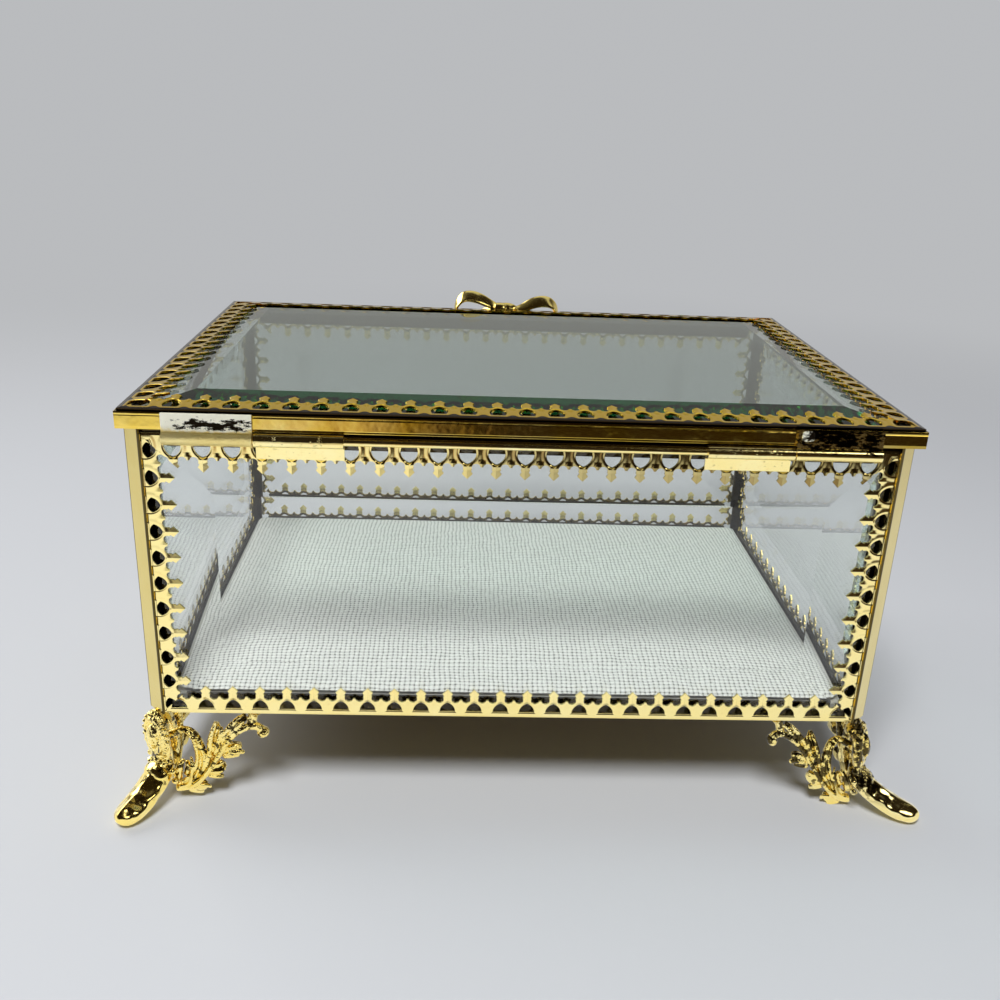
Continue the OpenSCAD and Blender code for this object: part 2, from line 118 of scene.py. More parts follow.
class Wire:
    # a node's output that takes part in arithmetic
    def __init__(self, tree, socket):
        self.tree = tree
        self.socket = socket

    def math(self, operation, *others):
        node = self.tree.nodes.new("ShaderNodeMath")
        node.operation = operation
        for slot, value in zip(node.inputs, (self,) + others):
            feed(self.tree, slot, value)
        return Wire(self.tree, node.outputs[0])

    def __add__(self, other):
        return self.math("ADD", other)

    __radd__ = __add__

    def __mul__(self, other):
        return self.math("MULTIPLY", other)

    __rmul__ = __mul__

    def __sub__(self, other):
        return self.math("SUBTRACT", other)

    def __rsub__(self, other):
        return (self * -1) + other

    def __truediv__(self, other):
        return self.math("DIVIDE", other)

    def __abs__(self):
        return self.math("ABSOLUTE")

    def least(self, other):
        return self.math("MINIMUM", other)

    def most(self, other):
        return self.math("MAXIMUM", other)

    def clamped(self):
        return self.most(0).least(1)

    def root(self):
        return self.math("SQRT")

    def sine(self):
        return self.math("SINE")

    def repeat(self, pitch):  # signed distance from the nearest multiple of pitch
        return ((self / pitch + 0.5).math("FRACT") - 0.5) * pitch

    def ramp(self, start, end):  # 0 at start, 1 at end and straight between them
        return ((self - start) / (end - start)).clamped()

    def ease(self, start, end):  # the same with soft ends
        span = self.ramp(start, end)
        return span * span * (3 - span * 2)


def feed(tree, slot, value):
    if isinstance(value, Wire):
        tree.links.new(value.socket, slot)
    elif slot.type == "RGBA" and len(value) == 3:
        slot.default_value = (*value, 1)
    else:
        slot.default_value = value


class Finish:
    # one material, or the world, and its nodes
    def __init__(self, name, owner=None):
        self.material = owner or bpy.data.materials.new(name)
        self.material.use_nodes = True
        self.tree = self.material.node_tree
        self.tree.nodes.clear()

    def node(self, kind, settings={}, out=0, **values):
        node = self.tree.nodes.new("ShaderNode" + kind)
        for key, setting in settings.items():
            setattr(node, key, setting)
        for key, value in values.items():  # i0 is the first input, Base_Color the one with that name
            slot = int(key[1:]) if key[1:].isdigit() else key.replace("_", " ")
            feed(self.tree, node.inputs[slot], value)
        return Wire(self.tree, node.outputs[out])

    def rays(self, *kinds):  # 1 for a ray of each kind, else 0
        path = self.tree.nodes.new("ShaderNodeLightPath")
        return [Wire(self.tree, path.outputs[f"Is {kind} Ray"]) for kind in kinds]

    def place(self, scale=1 / mm):
        spot = self.node("TexCoord", out=3)
        return self.node("VectorMath", {"operation": "SCALE"}, i0=spot, i3=scale)

    def split(self, vector):
        node = self.tree.nodes.new("ShaderNodeSeparateXYZ")
        feed(self.tree, node.inputs[0], vector)
        return [Wire(self.tree, output) for output in node.outputs]

    def noise(self, place, scale, detail=2, roughness=0.5):
        return self.node("TexNoise", Vector=place, Scale=scale, Detail=detail, Roughness=roughness)

    def stretched(self, vector, factors):
        return self.node("VectorMath", {"operation": "MULTIPLY"}, i0=vector, i1=factors)

    def blend(self, factor, first, second):
        node = self.tree.nodes.new("ShaderNodeMix")
        node.data_type = "RGBA"
        feed(self.tree, node.inputs["Factor"], factor)
        feed(self.tree, node.inputs[6], first)
        feed(self.tree, node.inputs[7], second)
        return Wire(self.tree, node.outputs[2])

    def surface(self, shader, volume=None):
        output = self.tree.nodes.new("ShaderNodeOutputMaterial")
        self.tree.links.new(shader.socket, output.inputs["Surface"])
        if volume:
            self.tree.links.new(volume.socket, output.inputs["Volume"])
        return self.material


studio = {
    "floor": (0.52, 0.53, 0.55),
    "floorGlow": 0.66,  # what the floor adds of itself in metal and glass
    "backdrop": (0.49, 0.50, 0.515),
    "fade": (0.16, 0.55),  # metres from the middle, where the floor turns into the backdrop
    "floorSize": 8,
    "tableEdge": (0.15, 0.23),  # where the pale floor ends, in what metal reflects
    "litSide": (0.00, 0.12),
    "litGain": 2.2,
    "litLeast": 0.06,
    # the light from all round is strong from the front of the box and weak from the camera's side
    "ambientFront": (0.32, 0.325, 0.34),
    "ambientRear": (0.05, 0.05, 0.055),
    "ambientTurn": (0.45, -0.65),  # along Y, as shares of the direction
    "ambientRise": (0.02, 0.42),  # and upwards
    # what metal reflects: a dark room where the camera stands, a pale wall behind, a window at the side
    "darkRoom": (0.020, 0.014, 0.008),
    "warmRoom": (0.50, 0.30, 0.12),
    "wall": (0.46, 0.45, 0.43),
    "wallTurn": (0.12, -0.38),
    "wallSlant": 0.35,
    "ceiling": (0.16, 0.15, 0.14),
    "ceilingRise": (0.45, 0.95),
    "window": (2.6, 2.6, 2.6),
    "windowAim": (0.80, -0.30, 0.52),
    "windowSize": (0.86, 0.94),  # cosines of its outer and inner edge
    # a smaller window behind the camera gives the glints
    "glint": (3.4, 3.4, 3.3),
    "glintAim": (-0.50, 0.52, 0.69),
    "glintSize": (0.975, 0.985),
}


def makeFloor():
    bpy.ops.mesh.primitive_plane_add(size=studio["floorSize"])
    floor = bpy.context.object
    floor.name = "floor"
    paint = Finish("floorPaint")
    x, y, z = paint.split(paint.place(1))
    fade = (x * x + y * y).root().ease(*studio["fade"])
    glossy, through = paint.rays("Glossy", "Transmission")
    mirrored = glossy * (1 - through)
    near = paint.node("BsdfDiffuse", Color=studio["floor"])
    far = paint.node("Emission", Color=studio["backdrop"], Strength=1)
    dark = y.ease(*studio["tableEdge"]) * (1 - x.ease(*studio["litSide"]))
    glow = paint.node("Emission", Color=studio["floor"], Strength=studio["floorGlow"])
    bright = paint.node("MixShader", i0=fade, i1=paint.node("AddShader", i0=near, i1=glow), i2=far)
    lit = (x.ramp(*studio["litSide"]) * studio["litGain"] + studio["litLeast"]).clamped()
    beyond = paint.node("Emission", Color=paint.blend(lit, studio["darkRoom"], studio["warmRoom"]), Strength=1)
    shown = paint.node("MixShader", i0=dark, i1=bright, i2=beyond)
    plain = paint.node("MixShader", i0=fade, i1=near, i2=far)
    floor.data.materials.append(paint.surface(paint.node("MixShader", i0=mirrored, i1=plain, i2=shown)))
    rest()


def makeWorld():
    world = bpy.data.worlds.new("world")
    bpy.context.scene.world = world
    sky = Finish("world", world)
    camera, glossy, through = sky.rays("Camera", "Glossy", "Transmission")
    x, y, z = sky.split(sky.node("TexCoord", out=0))
    behind = (y - x * studio["wallSlant"]).ease(*studio["wallTurn"])
    room = sky.blend(behind, studio["darkRoom"], studio["wall"])
    overhead = sky.blend(behind, studio["darkRoom"], studio["ceiling"])
    room = sky.blend(z.ease(*studio["ceilingRise"]), room, overhead)
    for light in ("window", "glint"):
        aim = Vector(studio[light + "Aim"]).normalized()
        toward = x * aim.x + y * aim.y + z * aim.z
        room = sky.blend(toward.ease(*studio[light + "Size"]), room, studio[light])
    front = y.ease(*studio["ambientTurn"]) * z.ease(*studio["ambientRise"])
    ambient = sky.blend(front, studio["ambientRear"], studio["ambientFront"])
    colour = sky.blend(glossy, ambient, room)
    colour = sky.blend(camera.most(through), colour, studio["backdrop"])
    output = sky.tree.nodes.new("ShaderNodeOutputWorld")
    sky.tree.links.new(sky.node("Background", Color=colour, Strength=1).socket, output.inputs[0])


gilt = {
    "colour": (0.96, 0.78, 0.30),
    "deep": (0.74, 0.44, 0.10),
    "pale": (0.98, 0.92, 0.56),
    # painted shade: a darker, more orange copy of the brass for the lid's rim and strips
    "shadedOchre": (0.80, 0.54, 0.05),
    # painted shade: the near black that the dark masks blend the brass towards
    "paintedShadeColour": (0.030, 0.018, 0.006),
    # painted shade: the base plate is made dark, so that it bounces little light under the box
    "darkPlateColour": (0.16, 0.11, 0.05),
    "rich": (0.97, 0.76, 0.22),
    # painted shade: a darker copy of the brass for the corner strips
    "shadedPostColour": (0.66, 0.52, 0.16),
    "roughness": 0.10,
    "uneven": 0.1,  # how much rougher the grain makes it
    "patches": 0.12,  # noise, per mm
    "grain": 1.4,
    "waves": 0.55,
    "wobble": 0.02,  # height of the waves (mm)
    "grainHeight": 0.12,  # as a share of that
    "paleRise": (0.35, 0.975),  # where the patches turn pale; these are partly painted highlight
    "deepRise": (0.42, 0.42 - 1 / 3),  # where the grain turns deep
    "deepShare": 0.5,
    "shadeFrom": (0.06, 0.16),  # how far behind an outer face the painted shade begins (mm)
}


def giltMetal(
    name, base=gilt["colour"], pale=0.5, roughness=gilt["roughness"], relief=None, dark=None, wear=None
):
    # relief gives the surface's height (mm), dark where shade is painted on it, wear how far it is soldered
    # over
    brass = Finish(name)
    place = brass.place()
    patches = brass.noise(place, gilt["patches"], 3)
    grain = brass.noise(place, gilt["grain"], 4, 0.6)
    # random pale patches in the brass's tone, partly painted highlight
    colour = brass.blend(patches.ramp(*gilt["paleRise"]) * pale, base, gilt["pale"])
    colour = brass.blend(grain.ramp(*gilt["deepRise"]) * gilt["deepShare"], colour, gilt["deep"])
    # painted shade and dark reflections: the dark mask blends the brass towards near black
    if dark:
        colour = brass.blend(dark(brass, place), colour, gilt["paintedShadeColour"])
    height = (brass.noise(place, gilt["waves"]) + grain * gilt["grainHeight"]) * gilt["wobble"]
    if relief:
        height = height + relief(brass, place)
    shine = grain * gilt["uneven"] + roughness
    metallic = 1
    if wear:
        crust, burnt, rough, whole = wear(brass, place)
        colour = brass.blend(crust, colour, solder["colour"])
        colour = brass.blend(burnt, colour, solder["burnt"])
        shine = shine + whole * solder["roughness"]
        lean = (brass.split(place)[2] - solder["middle"]) * solder["lean"]
        height = height + (rough + lean) * whole
        metallic = 1 - crust * (1 - burnt) * solder["dull"]
    bump = brass.node("Bump", Strength=1, Distance=mm, Height=height)
    metal = brass.node("BsdfPrincipled", Base_Color=colour, Metallic=metallic, Roughness=shine, Normal=bump)
    return brass.surface(metal)


def behindFaces(x, y, halfX, halfY):
    # how far a place lies behind the nearest of four upright faces (mm)
    return (halfX - abs(x)).least(halfY - abs(y))


# The stamped strip, in the part's own sizes (mm)
strip = {
    "pitch": 4.8,
    "heartHalf": 1.4,
    "heartArch": 1.9,
    "heartMid": 2.2,  # widest place of a heart, from the soldered edge
    "rim": 0.13,  # height of the raised rim round a heart
    "rimWidth": 0.34,
    "rimSinks": (0.34, 1.04),  # from the heart's edge
    "rimSink": 0.6,
    "roof": 0.42,  # slope of a prong's two sides
    "prongHalf": 0.95,
    "prongRise": (3.9, 4.5),  # from the soldered edge
    "nubRoof": 0.3,
    "nubHalf": 0.75,
    "nubRise": (3.2, 4.0),
    "edgeFall": (0.75, 1.2),  # the plain edge bends back
    "edgeDrop": 0.12,
    # painted shade: between the hearts of a lid's strip the outer edge is darkened in waves, as the shade of
    # the rim's fold
    "waveRise": (1.3, 2.3),
    "wave": 0.55,
    "waveLeast": 0.72,
    "waveSoft": 0.06,
    # painted shade: under the lid's rim the rear strip is darker away from the window, along X
    "shade": (25, -5),
    "shadeMost": 0.5,
}


def stripRelief(along, reach, flat, raised):
    # the heights of a strip's stamping; along and reach give its own directions
    arch = (strip["heartArch"] ** 2 - strip["heartHalf"] ** 2) / (2 * strip["heartHalf"])

    def height(brass, place):
        spot = brass.split(place)
        off = abs(along(*spot).repeat(strip["pitch"]))
        up = reach(*spot)
        dx, dy = off + arch, up - strip["heartMid"]
        heart = ((dx * dx + dy * dy).root() - strip["heartHalf"] - arch).most(flat - up)
        sink = heart.ease(*strip["rimSinks"]) * strip["rimSink"]
        rim = heart.ease(0, strip["rimWidth"]) * (1 - sink) * strip["rim"]
        roof = (strip["prongHalf"] - off).most(0) * up.ramp(*strip["prongRise"]) * strip["roof"]
        nubFrom = strip["pitch"] / 2 - strip["nubHalf"]
        nub = (off - nubFrom).most(0) * up.ramp(*strip["nubRise"]) * strip["nubRoof"]
        edge = (flat - up).ramp(*strip["edgeFall"]) * -strip["edgeDrop"]
        return (rim + roof + nub + edge) * raised
    return height


def paintedGrooveShade(along, reach):
    # painted shade: the strip's outer edge is darkened in waves between the hearts, as the shade of the rim's
    # fold
    def groove(brass, place):
        spot = brass.split(place)
        side = abs(along(*spot).repeat(strip["pitch"]))
        wave = side.ease(*strip["waveRise"]) * strip["wave"] + strip["waveLeast"]
        return (wave - reach(*spot)).ramp(0, strip["waveSoft"])
    return groove


def paintedTopShade(brass, place):
    # painted shade on the rear strip under the lid's rim, darker away from the window
    return brass.split(place)[0].ease(*strip["shade"]) * strip["shadeMost"]


solder = {
    "colour": (1.0, 0.975, 0.80),
    "burnt": (0.012, 0.008, 0.004),
    "roughness": 0.22,
    "dull": 0.55,  # how far the crust is no longer metal
    "middle": 74.3,  # height of the crust's middle (mm)
    "lean": 0.28,  # how steeply it leans out towards its top
    "bumps": 0.22,  # their height (mm)
    "ragged": 0.8,
    "streaks": 5,
    "streakShape": (0.5, 1, 1.3),
    "streaksLess": 0.3,
    "sharp": 4,  # how sudden an edge is
    # for each lid leaf the crust, the burnt part, both as x, z, half width and half height on the
    # rear face, and how far the crust runs down round the barrel (mm)
    "right": ((51.6, 75.1, 9, 2.7), (50.3, 73.75, 6.8, 1.05), 1.8),
    "left": ((-46.0, 74.45, 1.1, 0.95), (-51.8, 74.2, 8.5, 2.6), 0),
}


def solderWear(patch, burn, barrel):
    def shape(x, z, spot, ragged):
        middleX, middleZ, wide, tall = spot
        dx, dz = (x - middleX) / wide, (z - middleZ) / tall
        squareX, squareZ = dx * dx, dz * dz
        reach = (squareX * squareX + squareZ * squareZ).root()
        return ((1 - reach + ragged) * solder["sharp"]).clamped()

    def wear(brass, place):
        x, y, z = brass.split(place)
        ragged = (brass.noise(place, 0.9, 5, 0.65) - 0.5) * solder["ragged"]
        streaky = brass.noise(brass.stretched(place, solder["streakShape"]), 1.0, 5, 0.75)
        streaks = (streaky - 0.5) * solder["streaks"] - solder["streaksLess"]
        middleX, middleZ, wide, tall = patch
        crust = shape(x, z, patch, ragged)
        whole = shape(x, z, (middleX, middleZ - barrel, wide, tall + barrel), 0)
        burnt = shape(x, z, burn, streaks)
        rough = brass.noise(place, 1.6, 5, 0.7) * solder["bumps"]
        return crust, burnt, rough, whole
    return wear


# The lid's rim is folded over at its top and bottom edges
rim = {
    "tall": 3.15,  # from its foot to where the fold would end (mm)
    "lowFold": (0.16, 0),  # shares of that height
    "highFold": (0.82, 1),
    "fold": 0.198,  # how far the folds fall back (mm)
    "groove": 0.74,
    "grooveHalf": 0.05,
    "grooveDeep": 0.10,
    "waves": 0.35,  # noise, per mm
    "waveHeight": 0.12,
    "shade": (30, 14),  # painted shade: it is darker away from the window, along X (mm)
    "shadeMost": 0.5,
}


def rimRelief(brass, place):
    x, y, z = brass.split(place)
    share = (z - sizeOf("lid_rail_rear")[0][2]) / rim["tall"]
    folds = share.ease(*rim["lowFold"]) + share.ease(*rim["highFold"])
    groove = 1 - abs(share - rim["groove"]).ramp(0, rim["grooveHalf"])
    waves = brass.noise(place, rim["waves"]) * rim["waveHeight"]
    return waves - folds * rim["fold"] - groove * rim["grooveDeep"]


def paintedRimShade(brass, place):
    # painted shade: all but the rim's outer face is darkened as the shade of its folds, and the rim is darker
    # away from the window
    x, y, z = brass.split(place)
    depth = behindFaces(x, y, sizeOf("lid_rail_right")[1][0], sizeOf("lid_rail_rear")[1][1])
    return depth.ramp(*gilt["shadeFrom"]).most(x.ease(*rim["shade"]) * rim["shadeMost"])


# The case's hinge plates lean out a little towards their tops (mm)
leaf = {
    "middle": 68.2,
    "top": (69.9, 69.8),
    "lean": 0.22,
    "pits": (0.66, 0.71),  # where the noise becomes a pit
    "pitDeep": 0.05,
    "waves": 0.06,
}


def leafRelief(brass, place):
    # smooth, with a few pits
    x, y, z = brass.split(place)
    pits = brass.noise(place, 1.3, 3, 0.6).ramp(*leaf["pits"]) * leaf["pitDeep"]
    lean = (z - leaf["middle"]) * leaf["lean"] * z.ramp(*leaf["top"])
    return brass.noise(place, 0.5) * leaf["waves"] - pits + lean


casting = {
    "roughFrom": (6, 9),  # it is rough above the toes and smooth on them (mm from the ground)
    "lumps": 0.5,
    "grains": 0.12,
    "ripples": 1.1,
    # painted dark reflections and shade in spots, more of them on the feet away from the window, along X
    "hollows": (0.565, 0.6),
    "away": (20, -60),
    "awayMore": 0.09,
    "hollowsFrom": (3, 6),
    "hollowsMost": 0.94,
}


def castRelief(brass, place):
    x, y, z = brass.split(place)
    rough = z.ease(*casting["roughFrom"])
    cast = brass.noise(place, 0.85) * casting["lumps"] + brass.noise(place, 2.2) * casting["grains"]
    return cast * rough + brass.noise(place, 0.32, 1) * (1 - rough) * casting["ripples"]


def paintedCastShade(brass, place):
    # painted shade and dark reflections in spots, more on the feet away from the window
    x, y, z = brass.split(place)
    spots = brass.noise(place, 0.62, 3, 0.55) + x.ramp(*casting["away"]) * casting["awayMore"]
    return spots.ramp(*casting["hollows"]) * z.ramp(*casting["hollowsFrom"]) * casting["hollowsMost"]


framePaintedShade = {
    "postHalf": (1.85, 1.95),  # a corner strip's face ends here, from its middle (mm)
    "postMost": 0.9,
    "deep": (3.6, 3.5),  # how far behind the walls' faces the painted shade reaches (mm)
    "above": (0.12, 0.17),  # from the frame's lower edge
    "below": (0.1, 0.15),  # from its upper edge
    "most": 0.97,
}


def paintedPostShade(brass, place):
    # painted shade along the corner strips' edges
    x, y, z = brass.split(place)
    across = abs(abs(x) - abs(y) - (case["halfLong"] - case["halfDeep"])) * math.sqrt(0.5)
    return across.ease(*framePaintedShade["postHalf"]) * framePaintedShade["postMost"]


def paintedHollowShade(brass, place):
    # painted shade: behind the strips the rails and uprights are darkened
    x, y, z = brass.split(place)
    depth = behindFaces(x, y, case["halfLong"], case["halfDeep"])
    above = (z - sizeOf("bottom_rail_rear")[0][2]).ramp(*framePaintedShade["above"])
    below = (sizeOf("top_rail_rear")[1][2] - z).ramp(*framePaintedShade["below"])
    return depth.ramp(*gilt["shadeFrom"]) * depth.ramp(*framePaintedShade["deep"]) * above * below * framePaintedShade["most"]


plateGlass = {
    "ior": 1.52,
    "tint": (0.25, 0.70, 0.50),  # what stays of the light along a long way through the plate
    "wallDensity": 4,
    "lidDensity": 56,
    "wallColour": (0.94, 0.955, 0.945),
    # painted shade: the lid's plate is grey, so all that is seen through it is darker
    "lidShadeColour": (0.57, 0.58, 0.57),
    "ghost": (0.96, 0.97, 0.965),  # for light that falls through on to other things
    "plateauRise": 0.8,  # how much steeper the lid's bevel is made (mm)
    "plateauSkin": 0.05,
}


def clearGlass(name, density, colour):
    glass = Finish(name)
    plate = glass.node(
        "BsdfPrincipled", Base_Color=colour, Roughness=0, IOR=plateGlass["ior"], Transmission_Weight=1
    )
    ghost = glass.node("BsdfTransparent", Color=plateGlass["ghost"])
    shadow, diffuse = glass.rays("Shadow", "Diffuse")
    tint = glass.node("VolumeAbsorption", Color=plateGlass["tint"], Density=density)
    return glass.surface(glass.node("MixShader", i0=shadow.most(diffuse), i1=plate, i2=ghost), tint)


weave = {
    "thread": 0.91,  # mm from one thread to the next
    "sag": 0.9,  # how far the threads wander (mm)
    "uneven": 0.15,
    "unevenShape": (1, 0.08, 0.3),
    "hole": (0.6, 0.2),  # sine of how far a hole between the threads reaches
    "line": 1.1,
    "lineShare": 0.55,
    "knotRise": (0.36, 0.36 + 1 / 3.6),
    "knotShare": 0.75,
    "openShare": 0.5,
    "slubRise": (0.3, 0.925),
    "pale": (0.86, 0.85, 0.82),
    "dull": (0.72, 0.71, 0.68),
    # painted shade between the threads
    "gap": (0.12, 0.115, 0.10),
    "threadHeight": 0.14,  # (mm)
    "slubHeight": 0.05,
}


def linenCloth():
    linen = Finish("linen")
    place = linen.place()
    x, y, z = linen.split(place)
    sag = (linen.noise(place, 0.22) - 0.5) * weave["sag"]
    uneven = linen.noise(linen.stretched(place, weave["unevenShape"]), 1.3) * weave["uneven"]
    turn = math.pi / weave["thread"]
    across = abs(((x + sag + uneven) * turn).sine())
    along = abs(((y + sag) * turn).sine())
    slub = linen.noise(place, 1.5, 3)
    colour = linen.blend(slub.ramp(*weave["slubRise"]), weave["dull"], weave["pale"])
    lines = (1 - across.root() * along.root() * weave["line"]).clamped()
    # painted shade: the holes and lines between the threads are darkened
    gaps = across.most(along).ramp(*weave["hole"]) + lines * weave["lineShare"]
    knots = linen.noise(place, 1.0, 3, 0.7).ramp(*weave["knotRise"]) * weave["knotShare"]
    colour = linen.blend((gaps * (knots + uneven + weave["openShare"])).clamped(), colour, weave["gap"])
    height = across * along * weave["threadHeight"] + slub * weave["slubHeight"]
    bump = linen.node("Bump", Strength=0.8, Distance=mm, Height=height)
    cloth = linen.node("BsdfPrincipled", Base_Color=colour, Roughness=0.92, Normal=bump, Sheen_Weight=0.15)
    return linen.surface(cloth)


card = {
    "dark": (0.40, 0.38, 0.34),
    "pale": (0.56, 0.54, 0.50),
}


def cardBoard():
    board = Finish("card")
    grain = board.noise(board.place(), 0.9, 5, 0.7)
    colour = board.blend(grain, card["dark"], card["pale"])
    return board.surface(board.node("BsdfPrincipled", Base_Color=colour, Roughness=0.9))


# How finely the pieces are made
fine = {
    "ball": (24, 14),  # steps round and over a ball
    "strandAlong": 6,
    "strandRound": 3,
    "weld": 0.001,  # (mm)
    "grain": 0.13,  # size of the squares that castings are made of (mm)
    "melt": 0.5,
}


def rest():
    bpy.ops.object.select_all(action="DESELECT")


def pick(*pieces):
    rest()
    for piece in pieces:
        piece.select_set(True)
    bpy.context.view_layer.objects.active = pieces[0]


def settle(piece):  # its place, turn and size go into the mesh
    pick(piece)
    bpy.ops.object.transform_apply(location=True, rotation=True, scale=True)
    rest()
    return piece


def modify(piece, kind, **settings):
    modifier = piece.modifiers.new(kind.lower(), kind)
    for key, setting in settings.items():
        setattr(modifier, key, setting)
    pick(piece)
    bpy.ops.object.modifier_apply(modifier=modifier.name)
    rest()
    return piece


def outwards(piece):
    pick(piece)
    bpy.ops.object.mode_set(mode="EDIT")
    bpy.ops.mesh.select_all(action="SELECT")
    bpy.ops.mesh.remove_doubles(threshold=fine["weld"] * mm)
    bpy.ops.mesh.normals_make_consistent(inside=False)
    bpy.ops.object.mode_set(mode="OBJECT")
    rest()
    return piece


def joined(pieces, name):
    pick(*pieces)
    bpy.ops.object.join()
    bpy.context.object.name = name
    return bpy.context.object


def twin(piece, name):
    copy = piece.copy()
    copy.data = piece.data.copy()
    copy.name = name
    bpy.context.scene.collection.objects.link(copy)
    return copy


def ball(centre, radii, turn=0):
    around, over = fine["ball"]
    bpy.ops.mesh.primitive_uv_sphere_add(segments=around, ring_count=over, radius=1, location=centre)
    piece = bpy.context.object
    piece.scale = radii
    piece.rotation_euler.z = turn
    return settle(piece)


def stroke(points, place):
    # a round strand that swells and thins along its points, each with its own radius last
    bpy.ops.curve.primitive_nurbs_path_add()
    piece = bpy.context.object
    line = piece.data.splines[0]
    points = points + [points[-1]] * (len(line.points) - len(points))
    line.points.add(len(points) - len(line.points))
    for knot, point in zip(line.points, points):
        knot.co = (*place(point), 1)
        knot.radius = point[3] * mm
    line.order_u = 3
    line.use_endpoint_u = True
    line.resolution_u = fine["strandAlong"]
    piece.data.bevel_depth = 1
    piece.data.bevel_resolution = fine["strandRound"]
    piece.data.use_fill_caps = True
    pick(piece)
    bpy.ops.object.convert(target="MESH")
    return settle(bpy.context.object)


def drawnThrough(outline, sections):
    # a closed solid through cross sections: each is the outline at a centre, along its two directions
    bpy.ops.mesh.primitive_circle_add(vertices=len(outline), radius=mm, fill_type="NGON")
    piece = bpy.context.object
    bpy.ops.object.mode_set(mode="EDIT")
    for number, (centre, across, up) in enumerate(sections):
        if number:
            bpy.ops.mesh.extrude_region_move()
        mesh = bmesh.from_edit_mesh(piece.data)
        ring = sorted((v for v in mesh.verts if v.select), key=lambda v: v.index)
        for vertex, (along, high) in zip(ring, outline):
            vertex.co = centre + across * along + up * high
        bmesh.update_edit_mesh(piece.data)
    bpy.ops.object.mode_set(mode="OBJECT")
    return outwards(piece)


def softened(piece):
    pick(piece)
    bpy.ops.object.shade_smooth()
    rest()
    return piece


def rounded(piece, times=2):
    return modify(piece, "SUBSURF", levels=times, render_levels=times)


def melted(pieces, name):
    # separate forms made one casting
    piece = joined(pieces, name)
    modify(piece, "REMESH", mode="VOXEL", voxel_size=fine["grain"] * mm)
    modify(piece, "SMOOTH", factor=fine["melt"], iterations=1)
    return softened(piece)


def finished(piece, finish):
    piece.data.materials.clear()
    piece.data.materials.append(finish)


